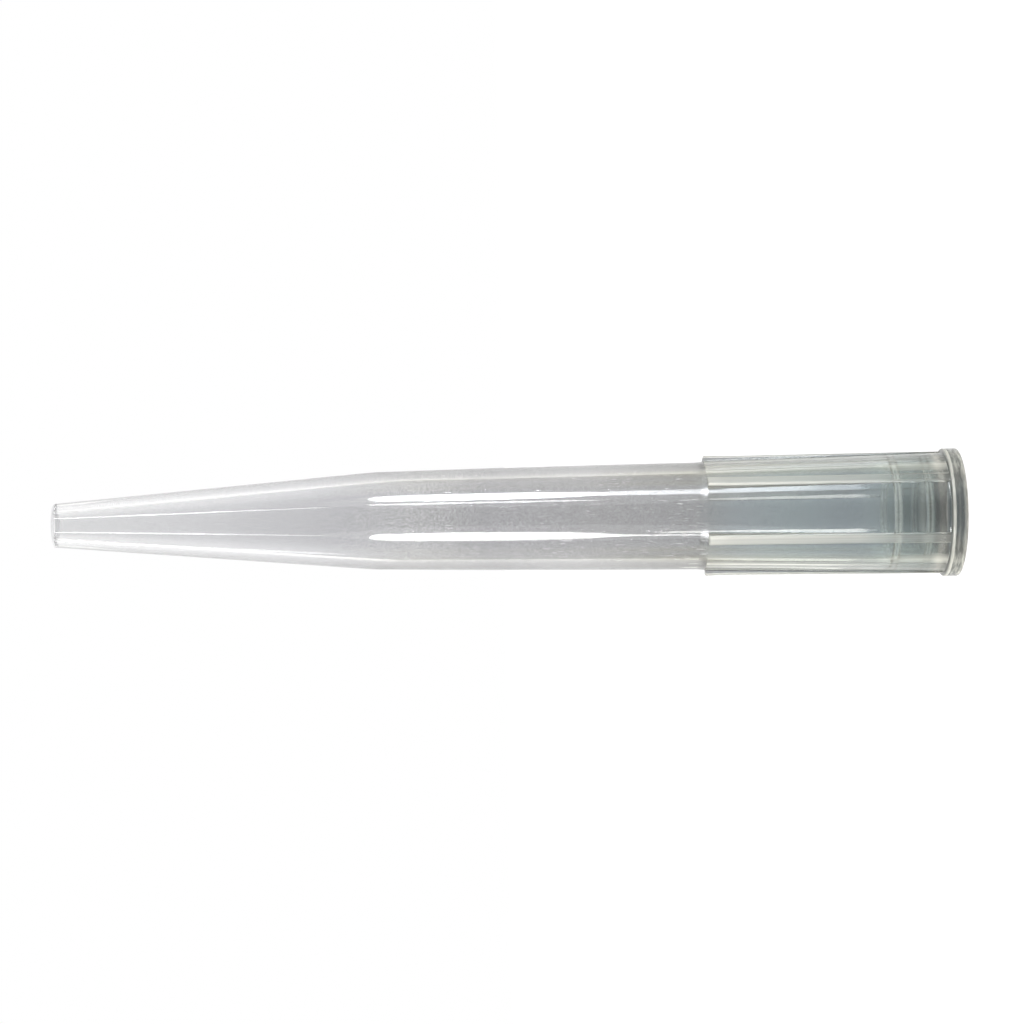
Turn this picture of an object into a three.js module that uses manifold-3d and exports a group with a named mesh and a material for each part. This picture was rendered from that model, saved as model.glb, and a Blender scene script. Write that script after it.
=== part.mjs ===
// Large-volume pipette tip, moulded in one piece of clear polypropylene.
// It stands mouth down on its rim: the rim face is z = 0 and the orifice points up along +Z.
import * as THREE from 'three';
import { mergeVertices } from 'three/addons/utils/BufferGeometryUtils.js';
import Module from 'manifold-3d';

// Driving dimensions, in millimetres and degrees. Radii are measured from the tip's axis.

// Heights along the axis
const TIP_LENGTH = 120;          // rim face to orifice face
const COLLAR_LENGTH = 33.6;      // rim face to the shoulders of the ribs
const CONE_LENGTH = 42.4;        // orifice face down to the break in the outside
const BORE_BREAK_DROP = 2.8;     // the bore's own break sits this far below the outside one
const RIM_THICKNESS = 2.0;

// Outside of the cone and the barrel
const ORIFICE_OUTER_RADIUS = 2.9;
const BREAK_RADIUS = 6.46;       // outside radius where cone and barrel meet
const BARREL_RADIUS = 7.14;      // outside radius where the barrel meets the collar
const BARREL_CROWN = 0.08;       // the barrel swells this much at its middle
const FLARE_RISE = 0.08;         // the barrel flares by this much as it runs into the collar
const FLARE_LENGTH = 1.25;
const ORIFICE_EDGE = 0.3;        // rounding of the orifice's outer edge
const BREAK_BLEND = 25;          // soft blend where cone and barrel meet

// Walls, measured square to the axis
const ORIFICE_WALL = 1.34;
const BREAK_WALL = 1.25;
const BARREL_WALL = 1.47;
const COLLAR_WALL = 1.62;        // behind the floor between two ribs, at the rim

// Socket that takes the pipette's nozzle
const SOCKET_RADIUS = 6.34;      // at the rim face, before the lead-in
const LEAD_IN_DEPTH = 1.5;
const LEAD_IN_WIDTH = 0.28;
const SEAL_COUNT = 2;            // sealing rings inside the socket
const SEAL_FIRST = 4.6;          // rim face to the middle of the first ring
const SEAL_PITCH = 4.15;
const SEAL_WIDTH = 1.1;          // from foot to foot
const SEAL_CREST = 0.55;         // width of a ring's level crest
const SEAL_HEIGHT = 0.2;
const SEAL_BLEND = 0.16;

// Rim and ribs
const RIM_PROUD = 0.38;          // the rim stands this far outside the ribs
const RIM_EDGE = 0.26;
const RIM_ROOT = 0.3;            // fillet between the collar and the rim's upper face
const RIB_COUNT = 6;
const RIB_WIDTH = 1.4;
const RIB_HEIGHT = 0.77;         // at the shoulder, over the barrel
const RIB_HEIGHT_AT_RIM = 0.16;  // the floor between the ribs rises towards the rim
const RIB_EDGE = 0.26;           // rounding along both long edges of a rib
const SHOULDER_SOFTENING = 0.06; // a rib's shoulder is rounded by this much more than its edges

// Fineness of the facets
const ROUND_SEGMENTS = 72;
const BARREL_STEPS = 4;
const FLARE_STEPS = 3;
const ARC_STEP = 30;             // degrees turned by one facet of a rounded corner
const RIB_EDGE_STEPS = 2;

const breakHeight = TIP_LENGTH - CONE_LENGTH;
const boreBreakHeight = breakHeight - BORE_BREAK_DROP;
const floorAtRim = SOCKET_RADIUS + COLLAR_WALL;
const crestAtRim = floorAtRim + RIB_HEIGHT_AT_RIM;
const floorAtShoulder = BARREL_RADIUS + FLARE_RISE;
const crestAtShoulder = BARREL_RADIUS + RIB_HEIGHT;
const rimRadius = crestAtRim + RIM_PROUD;

// A value that runs in a straight line from a at height za to b at height zb.
function along(z, za, a, zb, b) {
  return a + (b - a) * (z - za) / (zb - za);
}

// The barrel's outside: a straight taper with a slight swell, flared where it meets the collar.
function barrelRadius(z) {
  const t = (z - COLLAR_LENGTH) / (breakHeight - COLLAR_LENGTH);
  const swell = 4 * BARREL_CROWN * t * (1 - t);
  const flare = FLARE_RISE * Math.max(0, 1 - (z - COLLAR_LENGTH) / FLARE_LENGTH) ** 2;
  return along(z, COLLAR_LENGTH, BARREL_RADIUS, breakHeight, BREAK_RADIUS) + swell + flare;
}

// The floor of the collar between two ribs.
function floorRadius(z) {
  return along(z, 0, floorAtRim, COLLAR_LENGTH, floorAtShoulder);
}

// The tapered bore of the collar, between its mouth and the barrel's bore.
function socketRadius(z) {
  return along(z, 0, SOCKET_RADIUS, COLLAR_LENGTH, BARREL_RADIUS - BARREL_WALL);
}

// Turns corners [x, y, radius] of a closed outline into points, each corner rounded by an arc.
function roundedOutline(corners) {
  const points = [];
  corners.forEach(([x, y, radius = 0], i) => {
    const corner = new THREE.Vector2(x, y);
    const [px, py] = corners[(i + corners.length - 1) % corners.length];
    const [nx, ny] = corners[(i + 1) % corners.length];
    const back = new THREE.Vector2(px, py).sub(corner);
    const ahead = new THREE.Vector2(nx, ny).sub(corner);
    const half = back.angleTo(ahead) / 2;
    const reach = Math.min(radius / Math.tan(half), back.length() / 2, ahead.length() / 2);
    if (radius === 0 || reach < 1e-4) {
      points.push(corner);
      return;
    }
    const fitted = reach * Math.tan(half);
    const from = back.clone().setLength(reach);
    const to = ahead.clone().setLength(reach);
    const centre = from.clone().add(to).setLength(fitted / Math.sin(half));
    const turn = Math.PI - 2 * half;
    const steps = Math.max(2, Math.ceil(THREE.MathUtils.radToDeg(turn) / ARC_STEP));
    const start = from.sub(centre);
    const side = Math.sign(back.cross(ahead));
    for (let k = 0; k <= steps; k += 1) {
      const spoke = start.clone().rotateAround(new THREE.Vector2(), -side * turn * k / steps);
      points.push(spoke.add(centre).add(corner));
    }
  });
  return points;
}

// The half section of the revolved body, followed upwards outside and back down the bore.
function bodySection() {
  const corners = [
    [rimRadius, 0, RIM_EDGE],
    [rimRadius, RIM_THICKNESS, RIM_EDGE],
    [floorRadius(RIM_THICKNESS), RIM_THICKNESS, RIM_ROOT],
  ];
  for (let k = 0; k <= FLARE_STEPS; k += 1) {
    const z = COLLAR_LENGTH + FLARE_LENGTH * k / FLARE_STEPS;
    corners.push([barrelRadius(z), z]);
  }
  for (let k = 1; k < BARREL_STEPS; k += 1) {
    const z = along(k, 0, COLLAR_LENGTH, BARREL_STEPS, breakHeight);
    corners.push([barrelRadius(z), z]);
  }
  corners.push(
    [BREAK_RADIUS, breakHeight, BREAK_BLEND],
    [ORIFICE_OUTER_RADIUS, TIP_LENGTH, ORIFICE_EDGE],
    [ORIFICE_OUTER_RADIUS - ORIFICE_WALL, TIP_LENGTH],
    [barrelRadius(boreBreakHeight) - BREAK_WALL, boreBreakHeight, BREAK_BLEND],
    [socketRadius(COLLAR_LENGTH), COLLAR_LENGTH],
  );
  for (let k = SEAL_COUNT - 1; k >= 0; k -= 1) {
    corners.push(...sealRing(SEAL_FIRST + k * SEAL_PITCH));
  }
  corners.push(
    [socketRadius(LEAD_IN_DEPTH), LEAD_IN_DEPTH],
    [SOCKET_RADIUS + LEAD_IN_WIDTH, 0],
  );
  return roundedOutline(corners);
}

// Four corners of one sealing ring, from its upper foot over its level crest to its lower foot.
function sealRing(middle) {
  const upper = middle + SEAL_WIDTH / 2;
  const lower = middle - SEAL_WIDTH / 2;
  const crest = socketRadius(middle) - SEAL_HEIGHT;
  return [
    [socketRadius(upper), upper, SEAL_BLEND],
    [crest, middle + SEAL_CREST / 2, SEAL_BLEND],
    [crest, middle - SEAL_CREST / 2, SEAL_BLEND],
    [socketRadius(lower), lower, SEAL_BLEND],
  ];
}

// One rib along +X: its side outline, extruded across the rib's width with rounded long edges.
function ribGeometry() {
  const foot = RIM_THICKNESS / 2;
  const crestAtFoot = along(foot, 0, crestAtRim, COLLAR_LENGTH, crestAtShoulder);
  const outline = roundedOutline([
    [socketRadius(foot) + COLLAR_WALL / 2, foot],
    [crestAtFoot, foot],
    [crestAtShoulder, COLLAR_LENGTH, RIB_EDGE + SHOULDER_SOFTENING],
    [BARREL_RADIUS - BARREL_WALL / 2, COLLAR_LENGTH],
  ]);
  const rib = new THREE.ExtrudeGeometry(new THREE.Shape(outline), {
    depth: RIB_WIDTH - 2 * RIB_EDGE,
    bevelEnabled: true,
    bevelThickness: RIB_EDGE,
    bevelSize: RIB_EDGE,
    bevelOffset: -RIB_EDGE,
    bevelSegments: RIB_EDGE_STEPS,
  });
  rib.translate(0, 0, RIB_EDGE - RIB_WIDTH / 2);
  return rib.rotateX(Math.PI / 2);
}

const wasm = await Module();
wasm.setup();

// A closed three.js geometry as a solid that can be joined.
function solidOf(geometry) {
  const plain = geometry.clone();
  plain.deleteAttribute('normal');
  plain.deleteAttribute('uv');
  const merged = mergeVertices(plain, 1e-4);
  return new wasm.Manifold(new wasm.Mesh({
    numProp: 3,
    vertProperties: new Float32Array(merged.attributes.position.array),
    triVerts: new Uint32Array(merged.index.array),
  }));
}

// A joined solid back as a three.js geometry.
function geometryOf(solid) {
  const mesh = solid.getMesh();
  const geometry = new THREE.BufferGeometry();
  geometry.setAttribute('position', new THREE.BufferAttribute(mesh.vertProperties, 3));
  geometry.setIndex(new THREE.BufferAttribute(mesh.triVerts, 1));
  geometry.computeVertexNormals();
  return geometry;
}

function tipGeometry() {
  const body = new THREE.LatheGeometry(closed(bodySection()), ROUND_SEGMENTS);
  let tip = solidOf(body.rotateX(Math.PI / 2));
  for (let k = 0; k < RIB_COUNT; k += 1) {
    const rib = ribGeometry().rotateZ(2 * Math.PI * k / RIB_COUNT);
    tip = tip.add(solidOf(rib));
  }
  return geometryOf(tip);
}

function closed(points) {
  return [...points, points[0].clone()];
}

const polypropylene = new THREE.MeshStandardMaterial({
  color: 0xdde3e3,
  roughness: 0.16,
  metalness: 0,
  transparent: true,
  opacity: 0.45,
  side: THREE.DoubleSide,
});

const tip = new THREE.Mesh(tipGeometry(), polypropylene);
tip.name = 'tip_body';

const model = new THREE.Group();
model.name = 'pipette_tip';
model.add(tip);

export default model;
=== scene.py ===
"""A clear, thick-walled pipette tip, moulded in one piece, standing mouth down on a pale table.

The tip is one revolved wall whose collar is raised into six ribs. Its sizes are in millimetres
and are turned into metres as the mesh is made; shader, stage and lamps are in metres.
Heights run up from the rim face.
"""
from math import asin, atan2, cos, pi, radians, sin, sqrt, tan

import bmesh
import bpy
from mathutils import Matrix, Vector


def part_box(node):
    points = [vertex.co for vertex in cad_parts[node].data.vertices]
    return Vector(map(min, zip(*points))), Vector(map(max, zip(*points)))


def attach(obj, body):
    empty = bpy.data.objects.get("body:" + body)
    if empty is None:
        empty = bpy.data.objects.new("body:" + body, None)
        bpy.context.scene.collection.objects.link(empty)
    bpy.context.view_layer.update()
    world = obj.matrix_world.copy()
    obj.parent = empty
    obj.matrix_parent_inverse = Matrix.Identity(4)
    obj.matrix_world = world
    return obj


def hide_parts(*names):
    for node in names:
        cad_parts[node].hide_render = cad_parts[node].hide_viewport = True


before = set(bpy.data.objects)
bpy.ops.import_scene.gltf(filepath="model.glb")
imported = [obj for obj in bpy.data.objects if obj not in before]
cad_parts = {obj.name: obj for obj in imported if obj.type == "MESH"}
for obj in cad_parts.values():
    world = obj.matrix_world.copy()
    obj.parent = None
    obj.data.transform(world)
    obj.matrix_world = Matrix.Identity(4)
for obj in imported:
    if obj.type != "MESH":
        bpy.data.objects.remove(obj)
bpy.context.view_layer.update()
tip_low, tip_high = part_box("tip_body")

MM = 0.001

# ---------------------------------------------------------------- sizes of the tip

TIP_LENGTH = (tip_high.z - tip_low.z) / MM
RIM_RADIUS = tip_high.y / MM
COLLAR_LENGTH = 33.6
BREAK_HEIGHT = 77.6
BORE_BREAK_HEIGHT = 74.8
RIM_THICKNESS = 2.0

ORIFICE_OUTER_RADIUS = 2.9
BREAK_RADIUS = 6.46
BARREL_RADIUS = 7.14
BARREL_CROWN = 0.08
ORIFICE_EDGE = 0.3
ORIFICE_BORE_EDGE = 0.04
BREAK_BLEND = 25

ORIFICE_WALL = 1.34
BREAK_WALL = 1.25
BARREL_WALL = 1.47
COLLAR_WALL = 1.62
FLARE_RISE = 0.08
FLARE_LENGTH = 1.25

SOCKET_RADIUS = 6.34
LEAD_IN_DEPTH = 1.5
LEAD_IN_WIDTH = 0.28
LEAD_IN_BLEND = 0.5
MOUTH_EDGE = 0.06
SEAL_HEIGHTS = (4.6, 8.75)
SEAL_WIDTH = 1.1
SEAL_CREST = 0.55
SEAL_HEIGHT = 0.2
SEAL_BLEND = 0.16

RIM_EDGE = 0.26
RIM_ROOT = 0.3
RIB_COUNT = 6
RIB_WIDTH = 1.4
RIB_CREST_AT_SHOULDER = 7.91
RIB_CREST_AT_RIM = 8.12
RIB_RISE = RIB_CREST_AT_SHOULDER - BARREL_RADIUS
RIB_EDGE = 0.26
LOW_RIB_EDGE = 0.75  # of a low rib's height
RIB_FOOT = 0.1
SHOULDER_EDGE = 0.26

FLOOR_AT_RIM = SOCKET_RADIUS + COLLAR_WALL

# ---------------------------------------------------------------- rows and columns of faces

COLLAR_ROWS = (3.4, 8, 14, 20, 26, 31)
SHOULDER_ROWS = 7
SHOULDER_ROW = 0.045
FLARE_ROWS = 6
BARREL_ROWS = 10
ORIFICE_ROW = 0.6
CREST_COLUMNS = (0.33, 0.22, 0.11)  # in from the rib's rounded edge
EDGE_COLUMNS = (0, 18, 36, 54, 72, 90)  # in degrees round the edge
FOOT_COLUMNS = (0.1, 0.25, 0.5, 1, 3)  # in widths of the rib's foot
GAP_COLUMNS = 36
ROUNDING_STEP = radians(13)
FEWEST_STEPS = 4
SHARP_EDGE = radians(32)
NEARLY = 0.001  # allows for rounding in the mesh's coordinates

# ---------------------------------------------------------------- the tip's wall


def along(z, za, a, zb, b):
    """A value that runs in a straight line from a at height za to b at height zb."""
    return a + (b - a) * (z - za) / (zb - za)


def barrel_radius(z):
    t = (z - COLLAR_LENGTH) / (BREAK_HEIGHT - COLLAR_LENGTH)
    swell = 4 * BARREL_CROWN * t * (1 - t)
    flare = FLARE_RISE * max(0, 1 - (z - COLLAR_LENGTH) / FLARE_LENGTH) ** 2
    return along(z, COLLAR_LENGTH, BARREL_RADIUS, BREAK_HEIGHT, BREAK_RADIUS) + swell + flare


def collar_floor(z):
    return along(z, 0, FLOOR_AT_RIM, COLLAR_LENGTH, BARREL_RADIUS + FLARE_RISE)


def rib_crest(z):
    return along(z, 0, RIB_CREST_AT_RIM, COLLAR_LENGTH, RIB_CREST_AT_SHOULDER)


def cone_radius(z):
    return along(z, BREAK_HEIGHT, BREAK_RADIUS, TIP_LENGTH, ORIFICE_OUTER_RADIUS)


def bore_radius(z):
    """The bore without its sealing rings: through the socket, the barrel and the cone."""
    at_shoulder = BARREL_RADIUS - BARREL_WALL
    at_break = barrel_radius(BORE_BREAK_HEIGHT) - BREAK_WALL
    if z < COLLAR_LENGTH:
        return along(z, 0, SOCKET_RADIUS, COLLAR_LENGTH, at_shoulder)
    if z < BORE_BREAK_HEIGHT:
        return along(z, COLLAR_LENGTH, at_shoulder, BORE_BREAK_HEIGHT, at_break)
    return along(z, BORE_BREAK_HEIGHT, at_break, TIP_LENGTH, ORIFICE_OUTER_RADIUS - ORIFICE_WALL)


def wall_corners():
    """The wall's half section as (radius, height, rounding), up the outside and down the bore."""
    collar_rows = list(COLLAR_ROWS) + [
        COLLAR_LENGTH - SHOULDER_ROW * k for k in range(SHOULDER_ROWS, 0, -1)]
    barrel_rows = [
        COLLAR_LENGTH + FLARE_LENGTH * k / FLARE_ROWS for k in range(FLARE_ROWS + 1)] + [
        along(k, 0, COLLAR_LENGTH, BARREL_ROWS, BREAK_HEIGHT) for k in range(1, BARREL_ROWS)]
    last_row = TIP_LENGTH - ORIFICE_ROW
    corners = [
        (RIM_RADIUS, 0, RIM_EDGE),
        (RIM_RADIUS, RIM_THICKNESS, RIM_EDGE),
        (collar_floor(RIM_THICKNESS), RIM_THICKNESS, RIM_ROOT),
    ]
    corners += [(collar_floor(z), z, 0) for z in collar_rows]
    corners += [(barrel_radius(z), z, 0) for z in barrel_rows]
    corners += [
        (BREAK_RADIUS, BREAK_HEIGHT, BREAK_BLEND),
        (cone_radius(last_row), last_row, 0),
        (ORIFICE_OUTER_RADIUS, TIP_LENGTH, ORIFICE_EDGE),
        (bore_radius(TIP_LENGTH), TIP_LENGTH, ORIFICE_BORE_EDGE),
        (bore_radius(BORE_BREAK_HEIGHT), BORE_BREAK_HEIGHT, BREAK_BLEND),
        (bore_radius(COLLAR_LENGTH), COLLAR_LENGTH, 0),
    ]
    for middle in reversed(SEAL_HEIGHTS):
        upper = middle + SEAL_WIDTH / 2
        lower = middle - SEAL_WIDTH / 2
        crest = bore_radius(middle) - SEAL_HEIGHT
        corners += [
            (bore_radius(upper), upper, SEAL_BLEND),
            (crest, middle + SEAL_CREST / 2, SEAL_BLEND),
            (crest, middle, 0),
            (crest, middle - SEAL_CREST / 2, SEAL_BLEND),
            (bore_radius(lower), lower, SEAL_BLEND),
        ]
    return corners + [
        (bore_radius(LEAD_IN_DEPTH), LEAD_IN_DEPTH, LEAD_IN_BLEND),
        (SOCKET_RADIUS + LEAD_IN_WIDTH, 0, MOUTH_EDGE),
    ]


def draw_outline(bm, corners):
    """Draws a closed outline through the corners and rounds those that ask for it."""
    verts = [bm.verts.new((r * MM, 0, z * MM)) for r, z, _ in corners]
    for a, b in zip(verts, verts[1:] + verts[:1]):
        bm.edges.new((a, b))
    for vert, (_, _, rounding) in zip(verts, corners):
        if not rounding:
            continue
        back, ahead = (edge.other_vert(vert).co - vert.co for edge in vert.link_edges)
        turn = pi - back.angle(ahead)
        bmesh.ops.bevel(
            bm, geom=[vert], affect="VERTICES", offset=rounding * MM * tan(turn / 2),
            offset_type="OFFSET", segments=max(FEWEST_STEPS, round(turn / ROUNDING_STEP)),
            profile=0.5, material=-1)


def rib_columns():
    """Distances across a rib, from its middle, at which the wall has a column of faces."""
    half = RIB_WIDTH / 2
    crest = [half - RIB_EDGE - x for x in CREST_COLUMNS]
    rounding = [half - RIB_EDGE * (1 - sin(radians(a))) for a in EDGE_COLUMNS]
    foot = [half + RIB_FOOT * x for x in FOOT_COLUMNS]
    outward = crest + rounding + foot
    return [-x for x in reversed(outward)] + [0] + outward


def revolve(bm):
    """Spins the outline once round in small turns: fine over each rib, coarser between two."""
    across = [asin(x / BARREL_RADIUS) for x in rib_columns()]
    gap = 2 * pi / RIB_COUNT - (across[-1] - across[0])
    turns = [(b - a, 1) for a, b in zip(across, across[1:])] + [(gap, GAP_COLUMNS)]
    bmesh.ops.rotate(bm, verts=bm.verts, cent=(0, 0, 0), matrix=Matrix.Rotation(across[0], 3, "Z"))
    front = list(bm.verts) + list(bm.edges)
    for angle, steps in turns * RIB_COUNT:
        front = bmesh.ops.spin(
            bm, geom=front, cent=(0, 0, 0), axis=(0, 0, 1), dvec=(0, 0, 0), angle=angle,
            steps=steps, use_merge=False, use_normal_flip=False, use_duplicate=False)["geom_last"]
    bmesh.ops.remove_doubles(bm, verts=bm.verts, dist=1e-7)


# ---------------------------------------------------------------- the ribs

RIB_CLEAR_HEIGHT = 5
RIB_MILKY_HEIGHT = 14
RIB_MILK_AT_RIM = 0.4
RIB_EDGE_PAINTED_HIGHLIGHT = 0.12
SHADED_FLANK_WIDTH = 0.06


def rib_rise(across, height):
    """How far a rib of this height stands above its floor at a distance across from its middle."""
    edge = min(RIB_EDGE, LOW_RIB_EDGE * height)
    beyond = abs(across) - (RIB_WIDTH / 2 - RIB_EDGE)
    if beyond <= 0:
        return height
    if beyond <= RIB_EDGE:
        return height - edge * (1 - sqrt(1 - (beyond / RIB_EDGE) ** 2))
    down = (beyond - RIB_EDGE) / RIB_FOOT
    return (height - edge) * max(0, 1 - down) ** 4


def rib_shape(across, radius, z):
    """A rib's rise above the wall, and the height of that point once the shoulder is rounded."""
    row = round((COLLAR_LENGTH - z) / SHOULDER_ROW)
    if row > SHOULDER_ROWS:
        return rib_rise(across, max(0, rib_crest(z) - radius)), z
    height, level = 0, COLLAR_LENGTH
    if row > 0:
        swing = radians(90 * (row - 1) / (SHOULDER_ROWS - 1))
        height = RIB_RISE - SHOULDER_EDGE * (1 - sin(swing))
        level = COLLAR_LENGTH - SHOULDER_EDGE * (1 - cos(swing))
    share = rib_rise(across, RIB_RISE) / RIB_RISE
    return share * height, z + (level - z) * min(1, 2 * share)


def rib_cloud(across, rise, z):
    """How milky a rib is: most along its rounded edges, where the milk paints a highlight, clear on its
    sides, clearer near the rim.
    """
    if abs(across) > RIB_WIDTH / 2 - NEARLY:
        return 0
    clearing = min(1, max(RIB_MILK_AT_RIM, along(z, RIB_CLEAR_HEIGHT, 0, RIB_MILKY_HEIGHT, 1)))
    edge = max(0, 1 - abs(abs(across) - (RIB_WIDTH / 2 - RIB_EDGE / 2)) / RIB_EDGE)
    crest = clearing * (rise / RIB_RISE) ** 0.55 * (1 + 0.1 * edge)
    # the extra milk along the rounded edges paints a highlight
    return crest + RIB_EDGE_PAINTED_HIGHLIGHT * edge * (rise / (RIB_RISE - FLARE_RISE)) ** 2


def raise_ribs(bm, milk, flank):
    """Lifts the collar's outside into the ribs, and marks how milky they are and their sides, which get
    painted shade.
    """
    half = RIB_WIDTH / 2
    reach = asin((half + RIB_FOOT + NEARLY) / BARREL_RADIUS)
    spacing = 2 * pi / RIB_COUNT
    for vert in bm.verts:
        x, y, z = vert.co / MM
        radius = sqrt(x * x + y * y)
        rib = round(atan2(y, x) / spacing) * spacing
        turn = atan2(y, x) - rib
        on_collar = RIM_THICKNESS + NEARLY < z < COLLAR_LENGTH + NEARLY
        if not on_collar or radius < collar_floor(z) - COLLAR_WALL / 2 or abs(turn) > reach:
            continue
        across = BARREL_RADIUS * sin(turn)
        rise, z = rib_shape(across, radius, z)
        out = sqrt(radius * radius - across * across) + rise
        vert[milk] = rib_cloud(across, rise, z)
        # the rib's sides are marked for painted shade
        vert[flank] = half - NEARLY < abs(across) < half + SHADED_FLANK_WIDTH
        vert.co = Matrix.Rotation(rib, 3, "Z") @ Vector((out, across, z)) * MM


# ---------------------------------------------------------------- the whole tip

INNER_WALL = 0.5  # closer to the bore than this, a corner isn't on the outside
ORIFICE_MILK = 0.7
SEAL_MILK = 0.9
SEAL_CREST_MILK = 0.22


def cloud_edges(bm, milk, outside):
    """Marks the outside, and the sealing rings and orifice edge, which are milkier than the wall."""
    for vert in bm.verts:
        z = vert.co.z / MM
        radius = vert.co.xy.length / MM
        vert[outside] = radius > bore_radius(z) + INNER_WALL
        if z > TIP_LENGTH - ORIFICE_EDGE and vert[outside]:
            vert[milk] = ORIFICE_MILK
        for middle in SEAL_HEIGHTS:
            if abs(z - middle) < SEAL_WIDTH / 2 and not vert[outside]:
                proud = max(0, bore_radius(z) - radius) / SEAL_HEIGHT
                vert[milk] = proud * (SEAL_CREST_MILK if abs(z - middle) < NEARLY else SEAL_MILK)


def make_tip():
    bm = bmesh.new()
    draw_outline(bm, wall_corners())
    revolve(bm)
    milk, outside, flank = (bm.verts.layers.float.new(name) for name in ("milk", "outside", "flank"))
    raise_ribs(bm, milk, flank)
    cloud_edges(bm, milk, outside)
    bmesh.ops.recalc_face_normals(bm, faces=bm.faces)
    for face in bm.faces:
        face.smooth = True
    for edge in bm.edges:
        edge.smooth = edge.calc_face_angle(0) < SHARP_EDGE
    mesh = bpy.data.meshes.new("clear_tip")
    bm.to_mesh(mesh)
    bm.free()
    tip = bpy.data.objects.new("clear_tip", mesh)
    bpy.context.collection.objects.link(tip)
    weighted = tip.modifiers.new("even shading", "WEIGHTED_NORMAL")
    weighted.keep_sharp = True
    weighted.weight = 100
    return tip


# ---------------------------------------------------------------- shader nodes


class Value:
    """A shader socket that can be used in sums and compared."""

    def __init__(self, nodes, socket):
        self.nodes = nodes
        self.socket = socket

    def _math(self, operation, a, b):
        return self.nodes.add("ShaderNodeMath", {"operation": operation}, {0: a, 1: b})

    def __add__(self, other):
        return self._math("ADD", self, other)

    __radd__ = __add__

    def __sub__(self, other):
        return self._math("SUBTRACT", self, other)

    def __rsub__(self, other):
        return self._math("SUBTRACT", other, self)

    def __mul__(self, other):
        return self._math("MULTIPLY", self, other)

    __rmul__ = __mul__

    def __lt__(self, other):
        return self._math("LESS_THAN", self, other)

    def __gt__(self, other):
        return self._math("GREATER_THAN", self, other)


class Nodes:
    """The nodes of one material or world."""

    def __init__(self, owner):
        owner.use_nodes = True
        self.tree = owner.node_tree
        self.tree.nodes.clear()

    def add(self, kind, settings=None, inputs=None, output=0):
        """Adds a node, makes its settings, fills its sockets, and returns one of its outputs."""
        node = self.tree.nodes.new(kind)
        for name, value in (settings or {}).items():
            if name == "stops":
                self._set_stops(node.color_ramp, value)
            else:
                setattr(node, name, value)
        for name, value in (inputs or {}).items():
            if isinstance(value, Value):
                self.tree.links.new(value.socket, node.inputs[name])
            else:
                node.inputs[name].default_value = value
        return Value(self, node.outputs[output]) if node.outputs else node

    @staticmethod
    def _set_stops(ramp, stops):
        while len(ramp.elements) < len(stops):
            ramp.elements.new(1)
        for element, (place, colour) in zip(ramp.elements, stops):
            element.position = place
            element.color = colour

    def layer(self, name):
        """A number that the mesh holds for each of its corners."""
        return self.add("ShaderNodeAttribute", {"attribute_name": name}, output="Fac")

    def noise(self, vector, scale, detail):
        return self.add("ShaderNodeTexNoise", None, {
            "Vector": vector, "Scale": scale, "Detail": detail})

    def fade(self, value, start, end, low=0, high=1):
        """Low where the value is at start, high where it is at end, and level beyond the two."""
        return self.add("ShaderNodeMapRange", None, {
            "Value": value, "From Min": start, "From Max": end, "To Min": low, "To Max": high})

    def ramp(self, value, stops):
        """A colour for each value, from (place, red, green, blue) or (place, grey) stops."""
        return self.add("ShaderNodeValToRGB", {"stops": [
            (place, (*colour, 1) if len(colour) == 3 else grey(*colour))
            for place, *colour in stops]}, {0: value})

    def blend(self, share, first, second):
        """A colour on the way from the first to the second."""
        return self.add("ShaderNodeMix", {"data_type": "RGBA"}, {0: share, 6: first, 7: second}, 2)

    def plastic(self, colour, roughness, transmission, normal):
        return self.add("ShaderNodeBsdfPrincipled", None, {
            "Base Color": colour, "Roughness": roughness, "IOR": 1.49,
            "Transmission Weight": transmission, "Normal": normal})

    def shown(self):
        """1 for what the camera sees, also in gloss and through clear plastic; 0 for light."""
        camera, glossy, transmission = (
            self.add("ShaderNodeLightPath", output=name)
            for name in ("Is Camera Ray", "Is Glossy Ray", "Is Transmission Ray"))
        return 1 - (1 - camera) * (1 - glossy) * (1 - transmission)


def grey(level):
    return (level, level, level, 1)


# ---------------------------------------------------------------- materials

# The plastic's tint by share of the tip's length, darkened by painted shade towards the collar and rim,
# standing in for the shadow seen through the tip: rim, sealing rings, collar, barrel, cone.
TINT_AND_PAINTED_SHADE = (
    (0.0, 0.03, 0.045, 0.05),
    (0.0202, 0.04, 0.055, 0.06),
    (0.0212, 0.35, 0.345, 0.32),
    (0.0235, 0.50, 0.49, 0.455),
    (0.028, 0.50, 0.49, 0.455),
    (0.029, 0.165, 0.205, 0.215),
    (0.034, 0.165, 0.205, 0.215),
    (0.036, 0.20, 0.245, 0.255),
    (0.051, 0.21, 0.255, 0.262),
    (0.059, 0.265, 0.305, 0.32),
    (0.060, 0.245, 0.295, 0.30),
    (0.067, 0.245, 0.295, 0.30),
    (0.069, 0.325, 0.37, 0.38),
    (0.077, 0.335, 0.38, 0.39),
    (0.083, 0.40, 0.45, 0.465),
    (0.116, 0.383, 0.423, 0.449),
    (0.18, 0.433, 0.479, 0.497),
    (0.247, 0.464, 0.495, 0.516),
    (0.279, 0.46, 0.475, 0.485),
    (0.281, 0.50, 0.505, 0.51),
    (0.40, 0.55, 0.55, 0.555),
    (0.52, 0.59, 0.59, 0.60),
    (0.56, 0.645, 0.645, 0.65),
    (0.60, 0.685, 0.685, 0.69),
    (0.68, 0.693, 0.693, 0.705),
    (0.85, 0.787, 0.787, 0.797),
    (0.995, 0.835, 0.835, 0.84),
    (1.0, 0.95, 0.95, 0.95),
)
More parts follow.
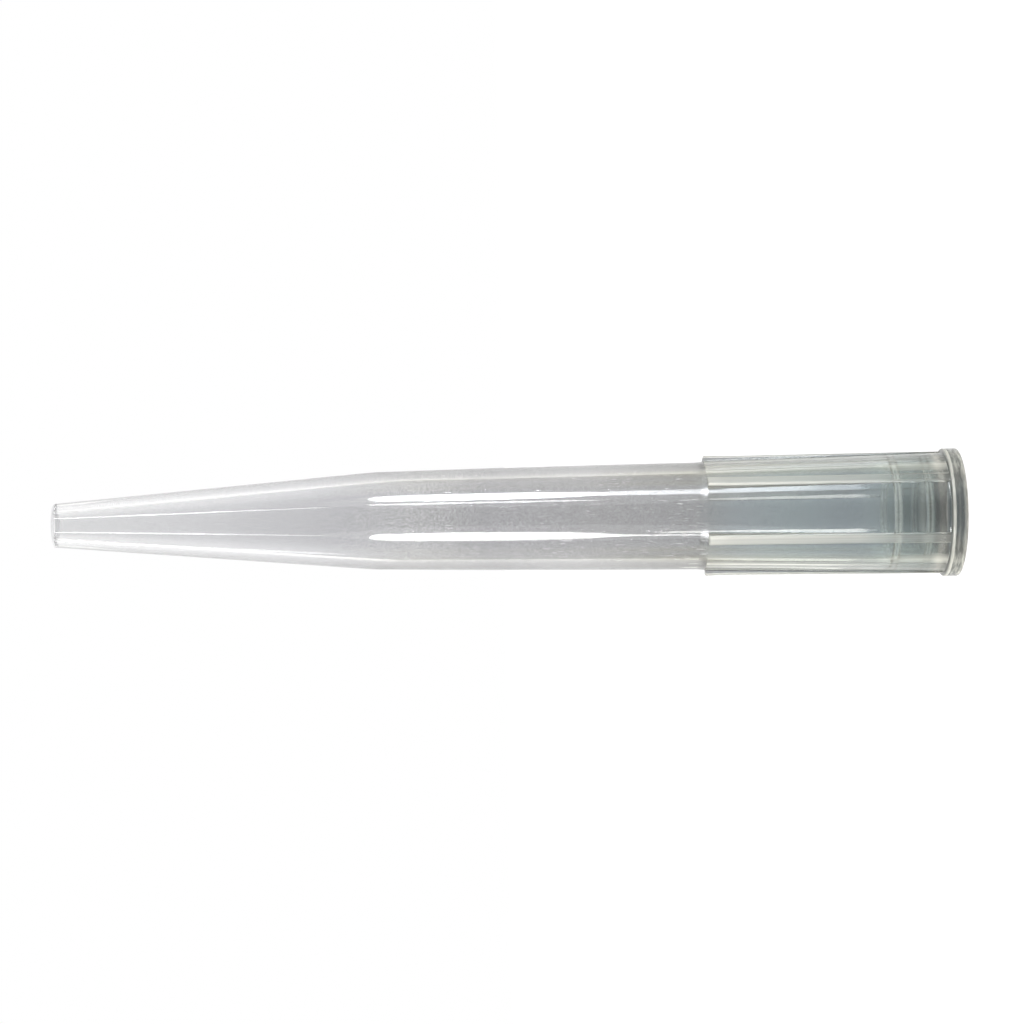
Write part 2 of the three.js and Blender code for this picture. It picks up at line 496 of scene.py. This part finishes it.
# Painted light and shade on the outside by its turn away from the eye; 0.5 leaves the tint as it is.
LIMB_PAINTED_LIGHT_RAMP = (
    (0, 0.5),
    (0.03, 0.5),
    (0.08, 0.54),
    (0.19, 0.67),
    (0.3, 0.67),
    (0.4, 0.53),
    (0.5, 0.35),
    (0.7, 0.22),
    (1, 0.2),
)
# How milky the rim is by share of this height, with a painted highlight line near its upper edge.
RIM_HAZE_HEIGHT = 0.0022
RIM_HAZE_AND_PAINTED_HIGHLIGHT = (
    (0, 0.5),
    (0.18, 0.4),
    (0.27, 0.03),
    (0.42, 0.03),
    (0.48, 0.1),
    (0.54, 0.1),
    (0.58, 0.03),
    (0.70, 0.03),
    (0.75, 0.85),
    (0.86, 0.85),
    (0.92, 0.1),
)
# The colour of the painted warm light at the tip's sides.
PAINTED_WARM_LIGHT = (1, 0.97, 0.76, 1)
MILK_COLOUR = (0.88, 0.88, 0.89, 1)
COLLAR_MILK_COLOUR = (0.93, 0.92, 0.83, 1)


def clear_polypropylene():
    """Clear moulded polypropylene, faintly hazy: painted shade deepens its tint towards the collar, and
    painted light, highlights and warm light lie on its sides, rib edges and rim.
    """
    material = bpy.data.materials.new("clear_polypropylene")
    n = Nodes(material)

    # Where on the tip: by height, as a share of its length or in metres, and by what is marked.
    place = n.add("ShaderNodeTexCoord", output="Object")
    x, y, z = (n.add("ShaderNodeSeparateXYZ", None, {0: place}, axis) for axis in "XYZ")
    height = z * (1 / tip_high.z)
    around = n.add("ShaderNodeMath", {"operation": "ARCTAN2"}, {0: y, 1: x})
    outside, flank, thick = (n.layer(name) for name in ("outside", "flank", "milk"))
    rim = (z < 0.0021) * outside
    rim_side = n.fade(z, 0.0019, 0.0017)
    lip = n.fade(z, 0.0045, 0.0035)
    mouth = n.fade(z, 0.0115, 0.0075)
    collar = height < 0.28
    junction = n.fade(height, 0.296, 0.284)
    worn = n.fade(height, 0.41, 0.3)
    cone = n.fade(height, 0.6, 0.72)
    end = height > 0.9972

    # How far the surface turns away from the eye, in bands from the middle out to the outline.
    facing = n.add("ShaderNodeLayerWeight", None, {"Blend": 0.5}, "Facing")
    beside = n.fade(facing, 0.014, 0.04) * (1 - n.fade(facing, 0.06, 0.16))
    turned = n.fade(facing, 0.02, 0.1)
    sides = n.fade(facing, 0.02, 0.3)
    tilted = n.fade(facing, 0.1, 0.2)
    edgeward = n.fade(facing, 0.2, 0.42)
    grazing = n.fade(facing, 0.25, 0.6)
    outer = n.fade(facing, 0.27, 0.37)
    outmost = n.fade(facing, 0.42, 0.5)
    outline = n.fade(facing, 0.7, 0.95)

    # The grain of the plastic, its scratches, and the flow lines along and round it.
    cloud = n.noise(place, 260, 3)
    grain = n.noise(place, 5200, 1)
    drawn = n.add("ShaderNodeMapping", None, {0: place, "Scale": (1, 1, 0.1)})
    scratch = n.fade(n.noise(drawn, 6000, 2), 0.665, 0.69)
    patch = n.fade(cloud, 0.45, 0.6)
    line = n.noise(n.add("ShaderNodeCombineXYZ", None, {0: around * 24, 1: height * 1.5}), 1, 1)
    lines = n.fade(line, 0.44, 0.6)
    ring = n.noise(n.add("ShaderNodeCombineXYZ", None, {0: around * 5, 1: z * 3000}), 1, 2)
    glint = n.fade(ring, 0.42, 0.62)
    bump = n.add("ShaderNodeBump", None, {
        "Strength": 0.12, "Distance": 0.00002,
        "Height": grain * (1 - 0.7 * cone) + scratch * (1 - collar) * (1 - cone)})

    # The tint: painted light and shade, deeper or lighter with the turn to the outline, painted light
    # beside the mouth and the collar's middle, painted shade on the ribs' sides, speckled by the grain,
    # and painted warm light at the sides.
    # painted light and shade by the surface's turn from the eye
    painted_limb_light = 2 * n.ramp(facing, LIMB_PAINTED_LIGHT_RAMP) - 1
    painted_limb_shift = 0.28 * cone + 0.15 * collar - 0.4 * worn * (1 - collar) - 0.45 * cone * outline
    speckle = 1 + (grain - 0.5) * (0.95 - 0.65 * cone)
    # painted light beside the mouth and beside the collar's middle
    mouth_painted_light = (0.8 * mouth + 0.3 * lip) * turned * (1 - edgeward) * (1 - rim)
    collar_painted_light = 0.3 * collar * (1 - rim) * beside
    painted_light_and_grain = (1 + (painted_limb_light + mouth_painted_light + collar_painted_light) * outside) * (1 + painted_limb_shift * grazing)
    # painted shade darkens the tint on the ribs' sides
    painted_light_and_grain = painted_light_and_grain * speckle * (1 - 0.4 * flank)
    # painted warm light in the band just inside the outline
    painted_warmth = outer * (1 - 0.6 * outmost) * (1 - cone) * (0.3 + 0.7 * worn)
    tint_with_painted_warmth = n.add("ShaderNodeVectorMath", {"operation": "MULTIPLY"}, {
        0: n.ramp(height, TINT_AND_PAINTED_SHADE), 1: n.blend(painted_warmth, grey(1), PAINTED_WARM_LIGHT)})
    tint_with_painted_light = n.add("ShaderNodeVectorMath", {"operation": "SCALE"}, {0: tint_with_painted_warmth, "Scale": painted_light_and_grain})

    # The haze and painted light: haze with a painted highlight line and glints on the rim, painted
    # light beside the mouth and in lines along the collar's sides, and what the mesh marks.
    # haze on the rim, with a painted highlight line near its upper edge and painted glints on its sides
    rim_haze_and_painted_highlight = rim * (
        n.ramp(z * (1 / RIM_HAZE_HEIGHT), RIM_HAZE_AND_PAINTED_HIGHLIGHT) * (0.6 + 0.6 * ring)
        + (0.18 + 0.35 * glint) * sides * rim_side)
    # painted light beside the mouth and in lines along the collar's sides
    mouth_side_painted_light = (0.05 * mouth + 0.04 * lip) * turned + 0.25 * (mouth + lip) * outer * (1 - outmost)
    collar_side_painted_lines = (0.13 + 0.55 * lines) * grazing * n.fade(z, 0.010, 0.030, 0.5, 1)
    collar_side_painted_lines = collar_side_painted_lines * collar * (1 - 0.6 * mouth * outmost)
    edge_haze_and_painted_light = (collar_side_painted_lines + mouth_side_painted_light) * (1 - rim) + rim_haze_and_painted_highlight
    marks = 0.7 * scratch * patch * (1 - collar) * (1 - cone) * (1 - grazing) + 0.7 * end
    body = (0.5 + 0.6 * line) * thick * (1 - 0.4 * tilted)
    haze_and_painted_light = (0.05 + marks + body + edge_haze_and_painted_light * (1 - thick)) * (1 - 0.7 * outline)

    clear = n.plastic(tint_with_painted_light, 0.03 + 0.04 * cloud + 0.14 * junction * (1 - collar), 1, bump)
    milky = n.plastic(
        n.blend(collar, MILK_COLOUR, COLLAR_MILK_COLOUR), 0.3 + 0.2 * cloud, 0.3, bump)
    surface = n.add("ShaderNodeMixShader", None, {0: haze_and_painted_light, 1: clear, 2: milky})
    n.add("ShaderNodeOutputMaterial", None, {"Surface": surface})
    return material


def table_paper():
    """A pale matt table top that shows as the background's white but keeps shadows."""
    material = bpy.data.materials.new("table_paper")
    n = Nodes(material)
    paper = n.add("ShaderNodeBsdfDiffuse", None, {"Color": grey(0.85)})
    glow = n.add("ShaderNodeEmission", None, {"Color": grey(1), "Strength": 1.3})
    surface = n.add("ShaderNodeMixShader", None, {0: n.shown() * 0.72, 1: paper, 2: glow})
    n.add("ShaderNodeOutputMaterial", None, {"Surface": surface})
    return material


def light_room():
    """A white room to look at, and an even pale light from all round."""
    world = bpy.data.worlds.new("light_room")
    bpy.context.scene.world = world
    n = Nodes(world)
    light = n.add("ShaderNodeBackground", None, {"Color": grey(1), "Strength": 0.92})
    white = n.add("ShaderNodeBackground", None, {"Color": grey(1), "Strength": 1})
    surface = n.add("ShaderNodeMixShader", None, {0: n.shown(), 1: light, 2: white})
    n.add("ShaderNodeOutputWorld", None, {"Surface": surface})


# ---------------------------------------------------------------- stage, lamps and camera

EYE_SIDE = -95.4
EYE_DISTANCE = 0.3325
EYE_HEIGHT = 0.065
EYE_ROLL = 0.873
SENSOR_WIDTH = 36
LENS = 87.890625
LENS_SHIFT = (0.04345703125, 0.00728515625)
NEAR = Matrix.Rotation(radians(EYE_SIDE), 3, "Z") @ Vector((1, 0, 0))
UP = Matrix.Rotation(radians(EYE_SIDE + 90), 3, "Z") @ Vector((1, 0, 0))

TABLE_RADIUS = 4
TABLE_GAP = 0.00002

# Name, degrees round the tip from the eye's side, distance, width, foot, top, brightness, colour.
LAMPS = (
    ("upper_lamp", 51.1, 0.12, 0.034, 0.043, 0.095, 17, (0.97, 0.98, 1.0)),
    ("upper_lamp_neck", 51.1, 0.12, 0.016, 0.026, 0.056, 5, (0.97, 0.98, 1.0)),
    ("upper_lamp_foot", 51.6, 0.12, 0.022, 0.008, 0.050, 11, (0.93, 0.96, 1.0)),
    ("upper_lamp_toe", 51.6, 0.12, 0.022, -0.010, 0.022, 6, (0.93, 0.96, 1.0)),
    ("upper_strip", 37, 0.12, 0.008, 0.045, 0.097, 16, (1.0, 1.0, 1.0)),
    ("upper_strip_slit", 36, 0.12, 0.005, 0.106, 0.195, 15, (1.0, 1.0, 1.0)),
    ("upper_strip_end", 36.5, 0.12, 0.008, 0.125, 0.185, 12, (1.0, 1.0, 1.0)),
    ("upper_strip_foot", 33.8, 0.12, 0.014, -0.022, 0.028, 8, (1.0, 1.0, 0.96)),
    ("upper_lamp_glow", 44, 0.121, 0.080, 0.010, 0.110, 1.2, (0.98, 0.98, 1.0)),
    ("lower_lamp", -38.5, 0.12, 0.042, 0.040, 0.096, 17, (1.0, 1.0, 0.98)),
    ("lower_lamp_neck", -39.5, 0.12, 0.007, 0.024, 0.062, 18, (1.0, 1.0, 0.98)),
    ("lower_lamp_foot", -32.8, 0.12, 0.013, -0.022, 0.034, 13, (1.0, 1.0, 0.94)),
    ("lower_strip_slit", -35, 0.12, 0.0045, 0.108, 0.195, 14, (1.0, 1.0, 1.0)),
    ("lower_strip_end", -33.5, 0.12, 0.008, 0.125, 0.185, 8, (1.0, 1.0, 1.0)),
    ("lower_lamp_glow", -33, 0.121, 0.080, 0.010, 0.110, 1.2, (0.98, 0.98, 1.0)),
    ("lower_cone_lamp", -89, 0.12, 0.020, 0.100, 0.170, 5, (1.0, 1.0, 1.0)),
    ("lower_fill", -100, 0.3, 0.2, 0.01, 0.25, 2.6, (1.0, 0.97, 0.9)),
    ("upper_glare", 51.1, 0.5, 0.120, 0.036, 0.120, 34, (0.93, 0.96, 1.0)),
    ("lower_glare", -38.5, 0.5, 0.120, 0.036, 0.120, 24, (0.97, 0.98, 1.0)),
    ("lower_edge_line", -142, 0.12, 0.020, -0.030, 0.028, 3, (1.0, 0.99, 0.88)),
    ("lower_band_line", -122, 0.12, 0.010, -0.030, 0.028, 5, (1.0, 0.99, 0.90)),
    ("lower_bore_line", -104, 0.12, 0.016, -0.030, 0.028, 3, (1.0, 0.99, 0.88)),
)
CARDS = (
    ("upper_card", 126, 0.3, 0.05, 0.001, 0.36, 0.25, (1.0, 0.99, 0.9)),
    ("lower_card", -126, 0.3, 0.05, 0.001, 0.10, 0.14, (1.0, 0.99, 0.9)),
    ("lower_cone_card", -126, 0.3, 0.05, 0.10, 0.36, 0.42, (1.0, 0.99, 0.9)),
)


def lay_table():
    bm = bmesh.new()
    bmesh.ops.create_circle(bm, cap_ends=True, segments=96, radius=TABLE_RADIUS)
    mesh = bpy.data.meshes.new("table")
    bm.to_mesh(mesh)
    bm.free()
    table = bpy.data.objects.new("table", mesh)
    table.location.z = -TABLE_GAP
    bpy.context.collection.objects.link(table)
    mesh.materials.append(table_paper())


def hang_lamp(name, side, distance, width, foot, top, brightness, colour, card=False):
    """A lamp turned to the tip: glossy surfaces show it, or matt ones if it is a fill or a card."""
    lamp = bpy.data.lights.new(name, "AREA")
    lamp.shape = "RECTANGLE" if card else "ELLIPSE"
    lamp.size = width
    lamp.size_y = top - foot
    area = width * (top - foot) * (1 if card else pi / 4)
    lamp.energy = brightness * pi * area
    lamp.color = colour
    holder = bpy.data.objects.new(name, lamp)
    bpy.context.collection.objects.link(holder)
    away = NEAR * cos(radians(side)) + UP * sin(radians(side))
    stand = away * distance + Vector((0, 0, (foot + top) / 2))
    holder.matrix_world = Matrix.Translation(stand) @ Matrix((
        Vector((0, 0, 1)).cross(away), Vector((0, 0, 1)), away)).transposed().to_4x4()
    fill = card or name.endswith("fill")
    holder.visible_camera = False
    holder.visible_transmission = card
    holder.visible_diffuse = fill
    holder.visible_glossy = not fill


def place_camera():
    """Looks level at the tip from close by, rolled so that the tip lies with its mouth to the right."""
    data = bpy.data.cameras.new("camera")
    data.sensor_width = SENSOR_WIDTH
    data.lens = LENS
    data.shift_x, data.shift_y = LENS_SHIFT
    camera = bpy.data.objects.new("camera", data)
    bpy.context.collection.objects.link(camera)
    roll = radians(EYE_ROLL)
    down = Vector((0, 0, -1))
    right = cos(roll) * down - sin(roll) * UP
    up = cos(roll) * UP + sin(roll) * down
    stand = NEAR * EYE_DISTANCE + Vector((0, 0, EYE_HEIGHT))
    camera.matrix_world = Matrix.Translation(stand) @ Matrix((right, up, NEAR)).transposed().to_4x4()
    bpy.context.scene.camera = camera


tip = make_tip()
tip.data.materials.append(clear_polypropylene())
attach(tip, "root")
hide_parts("tip_body")

lay_table()
light_room()
for row in LAMPS:
    hang_lamp(*row)
for row in CARDS:
    hang_lamp(*row, card=True)
place_camera()

scene = bpy.context.scene
scene.view_settings.view_transform = "Standard"
